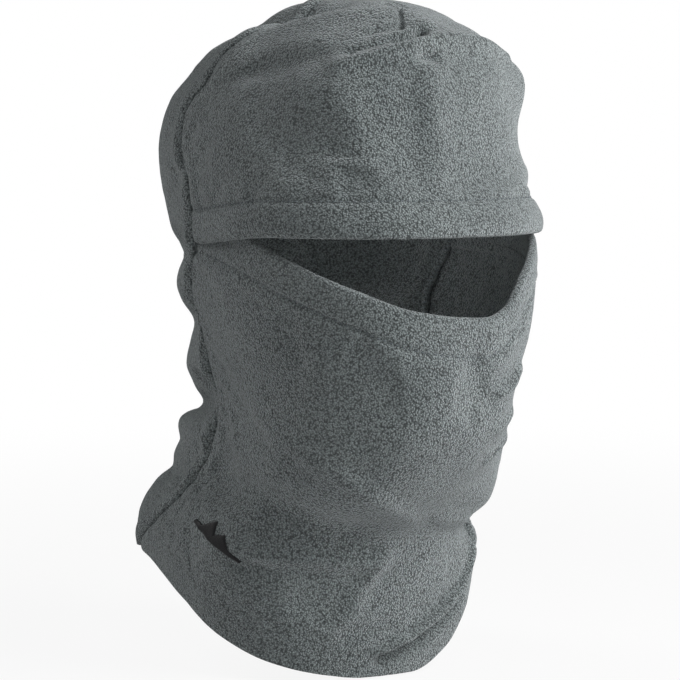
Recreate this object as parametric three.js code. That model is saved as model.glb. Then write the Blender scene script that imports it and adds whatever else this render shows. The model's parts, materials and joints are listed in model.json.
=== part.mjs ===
// Fleece balaclava: a hood with one eye opening, cut from three fleece panels.
// The back panel runs from the crown to the nape hem, the forehead panel hangs from the crown
// to a turned-up brow hem, and the mask panel covers nose, chin and throat and ends in a long
// front bib. One arch seam joins them, from one hem corner over the crown to the other.
// Millimetres, +Z up. The wearer faces -Y and the wearer's right hand is at -X.
//
// Every panel lies on one head surface, addressed by an angle around the head (0 at the centre
// front, growing towards the wearer's right), a height, and an inset below the outer surface.
// The brow hem and the mask's top hem swing about the ears, so each is a node of its own, and
// the cloth behind it, which stretches and bunches, is another.
import * as THREE from 'three';
import { mergeVertices } from 'three/addons/utils/BufferGeometryUtils.js';

// ---- driving dimensions ------------------------------------------------------------------
const FLEECE = 2.2;             // thickness of one layer
const HEM_THICKNESS = 2 * FLEECE;
const GAP = 0.4;                // between pieces that meet
const HEM_GAP = 1.0;            // along a curved hem, where facets don't line up either
const SEAM_GAP = 1.6;           // across the arch seam, where the panels' facets don't line up
const CROWN = 331;              // top of the hood
const DOME_START = 253;         // where the skull starts to round over
const DOME = CROWN - DOME_START;
const POLE_Y = -10.5;           // the crown point
const SECTION_POWER = 2.3;      // a little squarer than an ellipse
const MIDDLE_SHARE = 0.35;      // how far a section's widest line follows its front and back
const MIDDLE_Y = -6;
const BROW_TOP = 273;           // where the brow cloth stops moving
const NECK_TOP = 103;           // where the mask cloth stops moving
const BROW_HEM_DEPTH = 17.5;
const MASK_HEM_DEPTH = 17;
const BROW_STAND_OFF = 5.6;     // how far the brow hem stands outside the mask
const BROW_TUCK = 2.4;          // how far each hem sinks as it reaches the ears
const MASK_TUCK = 3;
const BROW_END_ANGLE = 96;
const MASK_END_ANGLE = 94.5;
const OVERLOCK_WIDTH = 3;
const OVERLOCK_DEPTH = 4.5;
const OVERLOCK_CLEAR = 2 * GAP;
const THREAD_RADIUS = 0.45;
const COLUMN_STEP = 5;          // degrees between columns of facets
const ROW_STEP = 9;             // height between rows of facets

// Head sections from the hem to the start of the dome: [height, half width, front, back]
const SECTIONS = [
  [-9, 70, -52.5, 103.5],
  [31, 78, -59.5, 113.5],
  [66, 81, -63.5, 117.5],
  [96, 70, -89.5, 101.5],
  [131, 63, -110.5, 80.5],
  [171, 73, -115.5, 74.5],
  [211, 81, -112.5, 80.5],
  [253, 80, -102.5, 97.5],
];
// The dome shrinks to the crown point from its start, as [reach, roundness] to each side
const DOME_SIDE = [80, 2.1];
const DOME_FRONT = [93, 4.4];
const DOME_BACK = [108, 1.85];

// Edges as [angle, height], and the arch seam as [height, angle]
const ARCH_SEAM = [[46, 125], [58, 118], [72, 107], [85, 102.5], [103, 101], [141, 107], [181, 111],
  [211, 103], [236, 101], [271, 104], [296, 96], [316, 86], [331, 90]];
const MASK_EDGE = [[-98, 224], [-78, 222], [-50, 213], [-30, 197], [-18, 181], [-8, 177], [20, 181],
  [40, 191], [60, 204], [78, 217], [98, 224]];
const BROW_EDGE = [[-98, 210.5], [-60, 216], [0, 216], [60, 216], [98, 210.5]];
const BOTTOM_EDGE = [[-180, 51], [-122, 54], [-75, 49], [-50, 41], [-38, 28], [-25, 9], [-8, 0], [14, 0],
  [30, 2.5], [50, 8.5], [70, 19], [90, 33], [110, 49], [122, 54], [180, 51]];
const SEAM_FOOT = 122;          // the angle at which the arch seam meets the bottom hem

// ---- the head surface --------------------------------------------------------------------
// A smooth curve through [position, value] keys that never overshoots between two of them.
function along(keys, position, column = 1) {
  const last = keys.length - 1;
  const at = THREE.MathUtils.clamp(position, keys[0][0], keys[last][0]);
  let i = 0;
  while (i < last - 1 && at > keys[i + 1][0]) i += 1;
  const rise = (k) => (keys[k + 1][column] - keys[k][column]) / (keys[k + 1][0] - keys[k][0]);
  const slope = (k) => {
    if (k === 0) return rise(0);
    if (k === last) return rise(last - 1);
    if (rise(k - 1) * rise(k) <= 0) return 0;
    return 2 / (1 / rise(k - 1) + 1 / rise(k));
  };
  const span = keys[i + 1][0] - keys[i][0];
  const t = (at - keys[i][0]) / span;
  const start = (1 + 2 * t) * (1 - t) * (1 - t) * keys[i][column] + t * (1 - t) * (1 - t) * span * slope(i);
  const end = t * t * (3 - 2 * t) * keys[i + 1][column] - t * t * (1 - t) * span * slope(i + 1);
  return start + end;
}

const domed = (reach, roundness, climb) => reach * (1 - climb ** roundness) ** (1 / roundness);

const middleOf = (height) => (
  MIDDLE_Y + MIDDLE_SHARE * (along(SECTIONS, height, 2) + along(SECTIONS, height, 3)));

// Half width, front reach and back reach of the section at a height, and its middle.
function sectionAt(height, inset) {
  const climb = THREE.MathUtils.clamp((height - DOME_START) / DOME, 0, 1);
  if (climb > 0) {
    return {
      middle: THREE.MathUtils.lerp(middleOf(DOME_START), POLE_Y, climb),
      halfWidth: domed(DOME_SIDE[0] - inset, DOME_SIDE[1], climb),
      front: POLE_Y - domed(DOME_FRONT[0] - inset, DOME_FRONT[1], climb),
      back: POLE_Y + domed(DOME_BACK[0] - inset, DOME_BACK[1], climb),
    };
  }
  const front = along(SECTIONS, height, 2);
  const back = along(SECTIONS, height, 3);
  return {
    middle: middleOf(height),
    halfWidth: along(SECTIONS, height, 1) - inset,
    front: front + inset,
    back: back - inset,
  };
}

// The point at an angle and height, inset below the outer surface.
function surface(angle, height, inset) {
  const { middle, halfWidth, front, back } = sectionAt(height, inset);
  const across = Math.sin(THREE.MathUtils.degToRad(angle));
  const ahead = Math.cos(THREE.MathUtils.degToRad(angle));
  const reach = ahead > 0 ? middle - front : back - middle;
  const squared = Math.abs(across) ** SECTION_POWER + Math.abs(ahead) ** SECTION_POWER;
  const stretch = squared ** (-1 / SECTION_POWER);
  const climb = Math.max(0, (height - DOME_START) / DOME);
  return new THREE.Vector3(
    -halfWidth * across * stretch,
    middle - reach * ahead * stretch,
    height - climb * inset,
  );
}

const seamAngle = (height) => along(ARCH_SEAM, height);
const maskEdge = (angle) => along(MASK_EDGE, angle);
const browEdge = (angle) => along(BROW_EDGE, angle);
const bottomEdge = (angle) => along(BOTTOM_EDGE, angle);
const nearEar = (angle) => THREE.MathUtils.smoothstep(Math.abs(angle), 60, 95);

// The brow flares outwards towards its hem, and the mask's top corners tuck in under it.
const FLARE_START = 225;
const browInset = (angle, height) => {
  const flare = 1 - THREE.MathUtils.smoothstep(height, FLARE_START, BROW_TOP);
  return flare * (BROW_TUCK * nearEar(angle) - BROW_STAND_OFF);
};
const maskInset = (angle, height) => (
  MASK_TUCK * nearEar(angle) * THREE.MathUtils.smoothstep(height, 206, 212));

// ---- solids from grids of points ---------------------------------------------------------
// The volume inside a closed set of triangles, negative where they face inwards.
function volumeOf(geometry, index) {
  const corners = geometry.attributes.position;
  const corner = (i) => new THREE.Vector3().fromBufferAttribute(corners, index[i]);
  let volume = 0;
  for (let i = 0; i < index.length; i += 3) {
    volume += corner(i).dot(corner(i + 1).cross(corner(i + 2))) / 6;
  }
  return volume;
}

function solidFrom(points, triangles) {
  const geometry = new THREE.BufferGeometry();
  geometry.setAttribute('position', new THREE.Float32BufferAttribute(points.flatMap((p) => p.toArray()), 3));
  geometry.setIndex(triangles.flat());
  const merged = mergeVertices(geometry, 1e-3);
  const kept = [];
  for (let i = 0; i < merged.index.count; i += 3) {
    const [a, b, c] = [0, 1, 2].map((k) => merged.index.getX(i + k));
    if (a !== b && b !== c && c !== a) kept.push(a, b, c);
  }
  merged.setIndex(volumeOf(merged, kept) < 0 ? kept.reverse() : kept);
  merged.computeVertexNormals();
  return merged;
}

// Joins rings of points, one after another, and closes the first and the last with a cap.
function sweep(rings) {
  const size = rings[0].length;
  const triangles = [];
  for (let i = 0; i < rings.length - 1; i += 1) {
    for (let k = 0; k < size; k += 1) {
      const [a, b] = [i * size + k, i * size + ((k + 1) % size)];
      triangles.push([a, a + size, b], [b, a + size, b + size]);
    }
  }
  const end = (rings.length - 1) * size;
  for (let k = 1; k < size - 1; k += 1) {
    triangles.push([0, k, k + 1], [end, end + k + 1, end + k]);
  }
  return solidFrom(rings.flat(), triangles);
}

// A sheet of cloth: place(u, v) gives [angle, height], and outer and inner give the insets of
// its two faces. Its four edges are closed by walls.
function cloth(columns, rows, place, outer, inner, shift) {
  const wide = columns + 1;
  const layer = wide * (rows + 1);
  const sheet = (inset) => {
    const points = [];
    for (let j = 0; j <= rows; j += 1) {
      for (let i = 0; i <= columns; i += 1) {
        const [angle, height] = place(i / columns, j / rows);
        points.push(surface(angle, height, inset(angle, height)).add(shift));
      }
    }
    return points;
  };
  const triangles = [];
  const quad = (a, b, c, d) => triangles.push([a, b, c], [a, c, d]);
  const at = (i, j) => j * wide + i;
  for (let j = 0; j < rows; j += 1) {
    for (let i = 0; i < columns; i += 1) {
      quad(at(i, j), at(i, j + 1), at(i + 1, j + 1), at(i + 1, j));
      quad(layer + at(i, j), layer + at(i + 1, j), layer + at(i + 1, j + 1), layer + at(i, j + 1));
    }
    quad(at(0, j), layer + at(0, j), layer + at(0, j + 1), at(0, j + 1));
    quad(at(columns, j), at(columns, j + 1), layer + at(columns, j + 1), layer + at(columns, j));
  }
  for (let i = 0; i < columns; i += 1) {
    quad(at(i, 0), at(i + 1, 0), layer + at(i + 1, 0), layer + at(i, 0));
    quad(at(i, rows), layer + at(i, rows), layer + at(i + 1, rows), at(i + 1, rows));
  }
  return solidFrom([...sheet(outer), ...sheet(inner)], triangles);
}

// Cloth in front of the arch seam, between two edges given as heights for an angle.
const FRONT_SHIFT = new THREE.Vector3(0, -SEAM_GAP / 2, 0);
const BACK_SHIFT = new THREE.Vector3(0, SEAM_GAP / 2, 0);

function frontCloth(low, high, outer, thickness, endAngle) {
  const columns = Math.round((2 * 100) / COLUMN_STEP);
  const rows = Math.max(1, Math.round((high(0) - low(0)) / ROW_STEP));
  const place = (u, v) => {
    const side = 2 * u - 1;
    let angle = 100 * side;
    let height = 0;
    for (let pass = 0; pass < 3; pass += 1) {
      height = THREE.MathUtils.lerp(low(angle), high(angle), v);
      angle = side * (endAngle ?? seamAngle(height));
    }
    return [angle, height];
  };
  return cloth(columns, rows, place, outer, (angle, height) => outer(angle, height) + thickness, FRONT_SHIFT);
}

// Rows of the dome close up towards the crown, so that each facet covers a like stretch.
const DOME_SPACING = 0.9;
const domeHeight = (share) => DOME_START + DOME * Math.sin((share * Math.PI) / 2) ** DOME_SPACING;
const domeShare = (height) => (2 / Math.PI) * Math.asin(((height - DOME_START) / DOME) ** (1 / DOME_SPACING));

// ---- the pieces --------------------------------------------------------------------------
const FLEECE_GREY = new THREE.MeshStandardMaterial({ color: 0x6b7274, roughness: 0.95, metalness: 0 });
const FLEECE_GREY_DARK = new THREE.MeshStandardMaterial({ color: 0x5f6668, roughness: 0.95, metalness: 0 });
const THREAD_GREY = new THREE.MeshStandardMaterial({ color: 0x565d60, roughness: 0.7, metalness: 0 });
const EMBROIDERY_BLACK = new THREE.MeshStandardMaterial({ color: 0x141517, roughness: 0.55, metalness: 0 });
const LABEL_WHITE = new THREE.MeshStandardMaterial({ color: 0xd9d9d4, roughness: 0.5, metalness: 0 });

const flush = () => 0;

function forehead_crown() {
  const columns = 30;
  const rows = 7;
  const from = domeShare(BROW_TOP + GAP / 2);
  const place = (u, v) => {
    const height = domeHeight(THREE.MathUtils.lerp(from, 1, v));
    return [(2 * u - 1) * seamAngle(height), height];
  };
  return cloth(columns, rows, place, flush, () => FLEECE, FRONT_SHIFT);
}

function back_panel() {
  const columns = 24;
  const skullRows = 9;
  const bodyRows = 22;
  const rows = bodyRows + skullRows;
  const place = (u, v) => {
    const row = Math.round(v * rows);
    const half = (height) => 180 - seamAngle(height);
    const side = 1 - 2 * u;
    if (row >= bodyRows) {
      const height = domeHeight((row - bodyRows) / skullRows);
      return [180 + side * half(height), height];
    }
    let angle = 180 + side * 75;
    let height = 0;
    for (let pass = 0; pass < 3; pass += 1) {
      const low = bottomEdge(angle > 180 ? angle - 360 : angle);
      height = THREE.MathUtils.lerp(low, DOME_START, row / bodyRows);
      angle = 180 + side * half(height);
    }
    return [angle, height];
  };
  return cloth(columns, rows, place, flush, () => FLEECE, BACK_SHIFT);
}

const forehead_brow = () => frontCloth(
  (angle) => browEdge(angle) + BROW_HEM_DEPTH + HEM_GAP / 2, () => BROW_TOP - GAP / 2, browInset, FLEECE);
const forehead_hem = () => frontCloth(
  browEdge, (angle) => browEdge(angle) + BROW_HEM_DEPTH - HEM_GAP / 2,
  browInset, HEM_THICKNESS, BROW_END_ANGLE);
const mask_hem = () => frontCloth(
  (angle) => maskEdge(angle) - MASK_HEM_DEPTH + HEM_GAP / 2, maskEdge,
  maskInset, HEM_THICKNESS, MASK_END_ANGLE);
const mask_face = () => frontCloth(
  () => NECK_TOP + GAP / 2, (angle) => maskEdge(angle) - MASK_HEM_DEPTH - HEM_GAP / 2, maskInset, FLEECE);
const neck_bib = () => frontCloth(bottomEdge, () => NECK_TOP - GAP / 2, flush, FLEECE);

// The seam allowance inside the arch seam, wrapped in overlock thread.
function ribSection(angle, height, side) {
  const top = surface(angle, height, FLEECE + OVERLOCK_CLEAR);
  const deep = surface(angle, height, FLEECE + OVERLOCK_CLEAR + OVERLOCK_DEPTH);
  return [
    top.clone().add(side),
    top.clone().sub(side),
    deep.clone().sub(side),
    deep.clone().add(side),
  ];
}

function arch_seam_overlock() {
  const corner = bottomEdge(SEAM_FOOT) + 3;
  const bodySteps = 20;
  const domeSteps = 10;
  const half = [];
  for (let i = 0; i < bodySteps; i += 1) half.push(THREE.MathUtils.lerp(corner, DOME_START, i / bodySteps));
  for (let i = 0; i <= domeSteps; i += 1) half.push(domeHeight(i / domeSteps));
  const up = half.map((height) => [seamAngle(height), height]);
  const down = half.slice(0, -1).reverse().map((height) => [-seamAngle(height), height]);
  const side = new THREE.Vector3(0, OVERLOCK_WIDTH / 2, 0);
  return sweep([...up, ...down].map(([angle, height]) => ribSection(angle, height, side)));
}

// A dart's allowance, standing inwards along the middle of the crown.
const DART_START = 328.5;
function dartRib(angle, from, to) {
  const steps = 6;
  const rings = [];
  for (let i = 0; i <= steps; i += 1) {
    const height = THREE.MathUtils.lerp(from, to, i / steps);
    rings.push(ribSection(angle, height, new THREE.Vector3(OVERLOCK_WIDTH / 2, 0, 0)));
  }
  return sweep(rings);
}

// A line of stitches lying along a hem, just clear of the cloth.
function hemThread(edge, offset, outer, endAngle) {
  const sides = 6;
  const steps = Math.round((2 * endAngle) / 3);
  const rings = [];
  for (let i = 0; i <= steps; i += 1) {
    const angle = THREE.MathUtils.lerp(-endAngle, endAngle, i / steps);
    const height = edge(angle) + offset;
    const clear = outer(angle, height) - 3 * THREAD_RADIUS;
    rings.push(Array.from({ length: sides }, (_, k) => {
      const turn = (k / sides) * 2 * Math.PI;
      return surface(angle, height + THREAD_RADIUS * Math.sin(turn), clear - THREAD_RADIUS * Math.cos(turn))
        .add(FRONT_SHIFT);
    }));
  }
  return sweep(rings);
}
const forehead_hem_thread = () => hemThread(browEdge, BROW_HEM_DEPTH - 1.5, browInset, BROW_END_ANGLE - 1);
const mask_hem_thread = () => hemThread(maskEdge, 1.5 - MASK_HEM_DEPTH, maskInset, MASK_END_ANGLE - 1);

// A generic mark of two small peaks embroidered on the bib, below the wearer's right ear.
const EMBLEM_ANGLE = 71;
const EMBLEM_HEIGHT = 70;
const EMBLEM_TURN = THREE.MathUtils.degToRad(-24);
const EMBLEM_PEAKS = [[-20, -2.6], [-13, -1.8], [-6.5, 4.6], [-1, -0.4], [4.5, 3], [11, -1.8], [20, -2.6]];
const EMBLEM_BASE = -4.4;
const EMBLEM_THICKNESS = 0.8;
const EMBLEM_CLEAR = 1.2;       // between the mark's flat facets and the curved bib

function emblem() {
  const radius = sectionAt(EMBLEM_HEIGHT, 0).halfWidth;
  const laid = (x, y, lift) => {
    const mark = new THREE.Vector2(x, y).rotateAround(new THREE.Vector2(), EMBLEM_TURN);
    const angle = EMBLEM_ANGLE - THREE.MathUtils.radToDeg(mark.x / radius);
    return surface(angle, EMBLEM_HEIGHT + mark.y, -lift).add(FRONT_SHIFT);
  };
  const top = EMBLEM_CLEAR + EMBLEM_THICKNESS;
  return sweep(EMBLEM_PEAKS.map(([x, peak]) => [
    laid(x, EMBLEM_BASE, EMBLEM_CLEAR),
    laid(x, peak, EMBLEM_CLEAR),
    laid(x, peak, top),
    laid(x, EMBLEM_BASE, top),
  ]));
}

// A blank woven label, sewn into the side seam inside the neck.
const LABEL_WIDTH = 22;
const LABEL_DROP = 34;
const LABEL_THICKNESS = 0.6;

function care_label() {
  const height = 119;
  const anchor = surface(-seamAngle(height) + 4, height, FLEECE + 3);
  const label = new THREE.BoxGeometry(LABEL_THICKNESS, LABEL_WIDTH, LABEL_DROP);
  label.translate(anchor.x - 1, anchor.y - LABEL_WIDTH / 2 - 3, anchor.z);
  return label;
}

// ---- assembly ----------------------------------------------------------------------------
const hood = new THREE.Group();
const pieces = [
  [back_panel, FLEECE_GREY],
  [forehead_crown, FLEECE_GREY],
  [forehead_brow, FLEECE_GREY],
  [forehead_hem, FLEECE_GREY_DARK],
  [mask_hem, FLEECE_GREY_DARK],
  [mask_face, FLEECE_GREY],
  [neck_bib, FLEECE_GREY],
  [arch_seam_overlock, THREAD_GREY],
  [() => dartRib(0, DART_START, 297), THREAD_GREY, 'forehead_dart_overlock'],
  [() => dartRib(180, DART_START, 291), THREAD_GREY, 'back_dart_overlock'],
  [forehead_hem_thread, THREAD_GREY],
  [mask_hem_thread, THREAD_GREY],
  [emblem, EMBROIDERY_BLACK],
  [care_label, LABEL_WHITE],
];
for (const [build, material, name] of pieces) {
  const mesh = new THREE.Mesh(build(), material);
  mesh.name = name ?? build.name;
  hood.add(mesh);
}

// The origin is the centre of the whole hood's footprint, at its lowest point.
const box = new THREE.Box3().setFromObject(hood, true);
const centre = box.getCenter(new THREE.Vector3());
hood.position.set(-centre.x, -centre.y, -box.min.z);

export default hood;
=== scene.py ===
"""A grey fleece balaclava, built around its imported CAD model.

Three continuous fleece panels (forehead, mask and back) stand for the CAD's rigid cloth nodes.
Each is a double-faced sheet on the CAD's head surface, with its folds, hems and seams worked
into the mesh and a short cloth simulation to settle it. Sewing threads, seam allowances, emblem
and label are built on those panels. Lengths are millimetres until mesh_from() makes them metres.
"""
import json
import math

import bmesh
import bpy
import numpy as np

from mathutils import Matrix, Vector


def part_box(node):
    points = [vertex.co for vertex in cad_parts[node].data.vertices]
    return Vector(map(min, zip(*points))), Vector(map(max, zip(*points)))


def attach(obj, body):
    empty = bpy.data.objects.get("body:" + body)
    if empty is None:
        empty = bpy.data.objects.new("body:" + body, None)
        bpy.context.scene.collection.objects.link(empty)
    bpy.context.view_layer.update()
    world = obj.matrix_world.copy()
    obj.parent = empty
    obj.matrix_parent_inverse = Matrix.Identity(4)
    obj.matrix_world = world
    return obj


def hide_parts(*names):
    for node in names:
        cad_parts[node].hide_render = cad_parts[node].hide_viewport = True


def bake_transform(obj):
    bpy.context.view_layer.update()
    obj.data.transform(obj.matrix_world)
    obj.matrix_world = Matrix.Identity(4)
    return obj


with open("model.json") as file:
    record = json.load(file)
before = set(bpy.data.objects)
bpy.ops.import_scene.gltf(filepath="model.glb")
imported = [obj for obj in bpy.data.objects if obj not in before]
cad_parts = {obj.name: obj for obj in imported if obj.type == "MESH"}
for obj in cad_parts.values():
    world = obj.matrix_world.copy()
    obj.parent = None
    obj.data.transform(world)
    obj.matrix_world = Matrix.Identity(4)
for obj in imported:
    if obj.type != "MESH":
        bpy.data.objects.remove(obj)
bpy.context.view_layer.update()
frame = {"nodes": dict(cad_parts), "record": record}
MM = 0.001

# ---- the hood's cut, in millimetres, as in the CAD ----------------------------------------
FLEECE = 2.2
HEM_THICKNESS = 2 * FLEECE
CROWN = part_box("back_panel")[1].z / MM
DOME_START = 253
POLE_Y = -10.5
SECTION_POWER = 2.3
MIDDLE_SHARE = 0.35
MIDDLE_Y = -6
# (height, half width, front, back) of the head's sections, then (reach, roundness) of the dome
SECTIONS = [(-9, 70, -52.5, 103.5), (31, 78, -59.5, 113.5), (66, 81, -63.5, 117.5),
            (96, 70, -89.5, 101.5), (131, 63, -110.5, 80.5), (171, 73, -115.5, 74.5),
            (211, 81, -112.5, 80.5), (253, 80, -102.5, 97.5)]
DOME_SIDE = (80, 2.1)
DOME_FRONT = (93, 4.4)
DOME_BACK = (108, 1.85)

# Edges as (angle, height), and the arch seam as (height, angle). An angle is 0 at the middle of
# the face and grows to the wearer's right.
ARCH_SEAM = [(46, 125), (58, 118), (72, 107), (85, 102.5), (103, 101), (141, 107), (181, 111), (211, 103),
             (236, 101), (271, 104), (296, 96), (316, 86), (331, 90)]
MASK_EDGE = [(-98, 224), (-78, 222), (-50, 213), (-30, 197), (-18, 181), (-8, 177), (20, 181), (40, 191),
             (60, 204), (78, 217), (98, 224)]
BROW_EDGE = [(-98, 210.5), (-60, 216), (0, 216), (60, 216), (98, 210.5)]
BOTTOM_EDGE = [(-180, 51), (-122, 54), (-75, 49), (-50, 41), (-38, 28), (-25, 9), (-8, 0), (14, 0), (30, 2.5),
               (50, 8.5), (70, 19), (90, 33), (110, 49), (122, 54), (180, 51)]
SEAM_FOOT = 54                  # height at which the arch seam meets the bottom hem
FRONT_DART_END = 306            # heights at which the crown's darts run out
BACK_DART_END = 294
BROW_HEM_DEPTH = 17.5
MASK_HEM_DEPTH = 17
BROW_STAND_OFF = 4.6            # how far the brow's hem stands outside the head surface
FLARE_START = 222
BROW_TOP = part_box("forehead_brow")[1].z / MM

# ---- how the cloth is worked, in millimetres ----------------------------------------------
SEAM_DEPTH = 1.3                # how far both panels roll in at a seam
SEAM_WIDTH = 0.7
PUCKER = 0.22                   # height of the puckers beside a seam
WELT = 1.0                      # height of the back panel's rib beside the arch seam
DART_DEPTH = 1.0
DART_WIDTH = 1.5
BROW_STITCH_DEPTH = 1.0         # how far each topstitch pulls its hem in
MASK_STITCH_DEPTH = 1.2
STITCH_WIDTH = 1.3
BROW_EDGE_ROLL = 1.2            # how far the brow's edge rolls in
HEM_ROUND = 1.9                 # how far a hem's rounded edge reaches past its outer face
MASK_CORNER_TUCK = 3.2


# ---- curves and the head surface ----------------------------------------------------------
def along(keys, position, column=1):
    """A smooth curve through keyed values that never overshoots between two of them."""
    table = np.array(keys, float)
    at, value = table[:, 0], table[:, column]
    position = np.clip(position, at[0], at[-1])
    rise = np.diff(value) / np.diff(at)
    slope = np.concatenate(([rise[0]], np.zeros(len(at) - 2), [rise[-1]]))
    for i in range(1, len(at) - 1):
        if rise[i - 1] * rise[i] > 0:
            slope[i] = 2 / (1 / rise[i - 1] + 1 / rise[i])
    i = np.clip(np.searchsorted(at, position, side="right") - 1, 0, len(at) - 2)
    span = at[i + 1] - at[i]
    t = (position - at[i]) / span
    start = (1 + 2 * t) * (1 - t) ** 2 * value[i] + t * (1 - t) ** 2 * span * slope[i]
    end = t * t * (3 - 2 * t) * value[i + 1] - t * t * (1 - t) * span * slope[i + 1]
    return start + end


def smoothstep(low, high, x):
    t = np.clip((x - low) / (high - low), 0, 1)
    return t * t * (3 - 2 * t)


def bump(x, width):
    """1 at x = 0, fading out over about width to each side."""
    return np.exp(-(x / width) ** 2)


def head(angle, height):
    """Points of the head surface, the outer face of the fleece before it is folded."""
    angle, height = np.broadcast_arrays(np.radians(angle), np.asarray(height, float))
    climb = np.clip((height - DOME_START) / (CROWN - DOME_START), 0, 1)
    on_dome = climb > 0

    def domed(size):
        return size[0] * np.clip(1 - climb ** size[1], 0, 1) ** (1 / size[1])

    front = along(SECTIONS, height, 2)
    back = along(SECTIONS, height, 3)
    middle = MIDDLE_Y + MIDDLE_SHARE * (front + back)
    middle = np.where(on_dome, middle * (1 - climb) + POLE_Y * climb, middle)
    half_width = np.where(on_dome, domed(DOME_SIDE), along(SECTIONS, height, 1))
    front = np.where(on_dome, POLE_Y - domed(DOME_FRONT), front)
    back = np.where(on_dome, POLE_Y + domed(DOME_BACK), back)
    across, ahead = np.sin(angle), np.cos(angle)
    reach = np.where(ahead > 0, middle - front, back - middle)
    stretch = (np.abs(across) ** SECTION_POWER + np.abs(ahead) ** SECTION_POWER) ** (-1 / SECTION_POWER)
    return np.stack([-half_width * across * stretch, middle - reach * ahead * stretch, height], -1)


def head_normal(angle, height):
    """Outward unit normals of the head surface."""
    step = 0.5
    across = head(angle + step, height) - head(angle - step, height)
    up = head(angle, np.minimum(height + step, CROWN)) - head(angle, height - step)
    normal = np.cross(up, across)
    size = np.linalg.norm(normal, axis=-1, keepdims=True)
    at_pole = np.asarray(height)[..., None] > CROWN - 0.001
    return np.where(at_pole, (0.0, 0.0, 1.0), normal / np.maximum(size, 1e-9))


def seam_angle(height):
    return along(ARCH_SEAM, height)


def seam_keys(foot, count=700):
    """Angles and heights along the arch seam, over the crown from one side's foot to the other's."""
    height = CROWN - (CROWN - foot) * np.abs(np.linspace(-1, 1, count)) ** 1.6
    side = np.where(np.arange(count) < count / 2, 1, -1)
    return side * seam_angle(height), height


def normals(points):
    """Outward unit normals of a grid of surface points."""
    across = np.gradient(points, axis=1)
    up = np.gradient(points, axis=0)
    normal = np.cross(across, up)
    size = np.linalg.norm(normal, axis=-1, keepdims=True)
    normal = np.where(size > 1e-9, normal / np.maximum(size, 1e-9), 0)
    core = np.stack([0 * points[..., 0], 0 * points[..., 1] + 5, np.minimum(points[..., 2], 250)], -1)
    outward = np.sign(np.sum(normal * (points - core), -1, keepdims=True))
    flat = size[..., 0] <= 1e-9
    normal = normal * np.where(outward == 0, 1, outward)
    normal[flat] = (0, 0, 1)
    return normal


def distance_to(points, line):
    """Distance from each point to a line of points, and the place in it of the nearest point."""
    shape = points.shape[:-1]
    flat = points.reshape(-1, 3)
    place = np.empty(len(flat), int)
    for start in range(0, len(flat), 4000):
        part = flat[start:start + 4000]
        place[start:start + 4000] = ((part[:, None] - line[None]) ** 2).sum(-1).argmin(1)
    step = np.gradient(line, axis=0)[place]
    size = np.linalg.norm(step, axis=-1)
    ahead = step / size[:, None]
    offset = flat - line[place]
    reach = np.clip((offset * ahead).sum(-1), -size, size)
    nearest = np.linalg.norm(offset - reach[:, None] * ahead, axis=-1)
    return nearest.reshape(shape), place.reshape(shape)


def wander(points, size, seed):
    """Smooth noise between -1 and 1, with features of about the given size."""
    rng = np.random.default_rng(seed)
    lattice = rng.uniform(-1, 1, (24, 24, 24))
    cell = points / size + 100
    base = np.floor(cell).astype(int)
    t = cell - base
    t = t * t * (3 - 2 * t)
    total = 0
    for corner in np.ndindex(2, 2, 2):
        weight = np.prod(np.where(np.array(corner) == 1, t, 1 - t), -1)
        i, j, k = np.moveaxis((base + np.array(corner)) % 24, -1, 0)
        total = total + weight * lattice[i, j, k]
    return total


def resampled(path, spacing):
    """A path of points respaced evenly."""
    length = np.concatenate(([0], np.cumsum(np.linalg.norm(np.diff(path, axis=0), axis=1))))
    steps = max(2, int(round(length[-1] / spacing)))
    at = np.linspace(0, length[-1], steps + 1)
    return np.stack([np.interp(at, length, path[:, k]) for k in range(path.shape[1])], -1)


def fold(points, path, width, depth):
    """A soft ridge along a path of (angle, height) points, or a valley if depth is negative.

    It is a sum of round bumps strung along the path, so it fades out gently past both ends."""
    keys = np.array(path, float)
    if len(keys) == 1:
        return depth * bump(np.linalg.norm(points - head(*keys[0]), axis=-1), width)
    keys = np.column_stack([np.arange(len(keys)), keys])
    at = np.linspace(0, len(keys) - 1, 12 * len(keys))
    line = resampled(head(along(keys, at, 1), along(keys, at, 2)), width / 2)
    spacing = np.linalg.norm(line[1] - line[0])
    total = 0
    for point in line:
        total = total + np.exp(-((points - point) ** 2).sum(-1) / width ** 2)
    return depth * total * spacing / (width * math.sqrt(math.pi))


# ---- meshes -------------------------------------------------------------------------------
def mesh_from(name, points, faces, material, smooth=True):
    """An object from points in millimetres, with doubled points merged and faces turned out."""
    mesh = bpy.data.meshes.new(name)
    mesh.from_pydata((np.asarray(points) * MM).tolist(), [], faces)
    work = bmesh.new()
    work.from_mesh(mesh)
    bmesh.ops.remove_doubles(work, verts=work.verts, dist=1e-6)
    bmesh.ops.dissolve_degenerate(work, edges=work.edges, dist=1e-7)
    bmesh.ops.recalc_face_normals(work, faces=work.faces)
    for face in work.faces:
        face.smooth = smooth
    work.to_mesh(mesh)
    work.free()
    mesh.materials.append(material)
    piece = bpy.data.objects.new(name, mesh)
    bpy.context.scene.collection.objects.link(piece)
    return piece


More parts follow.
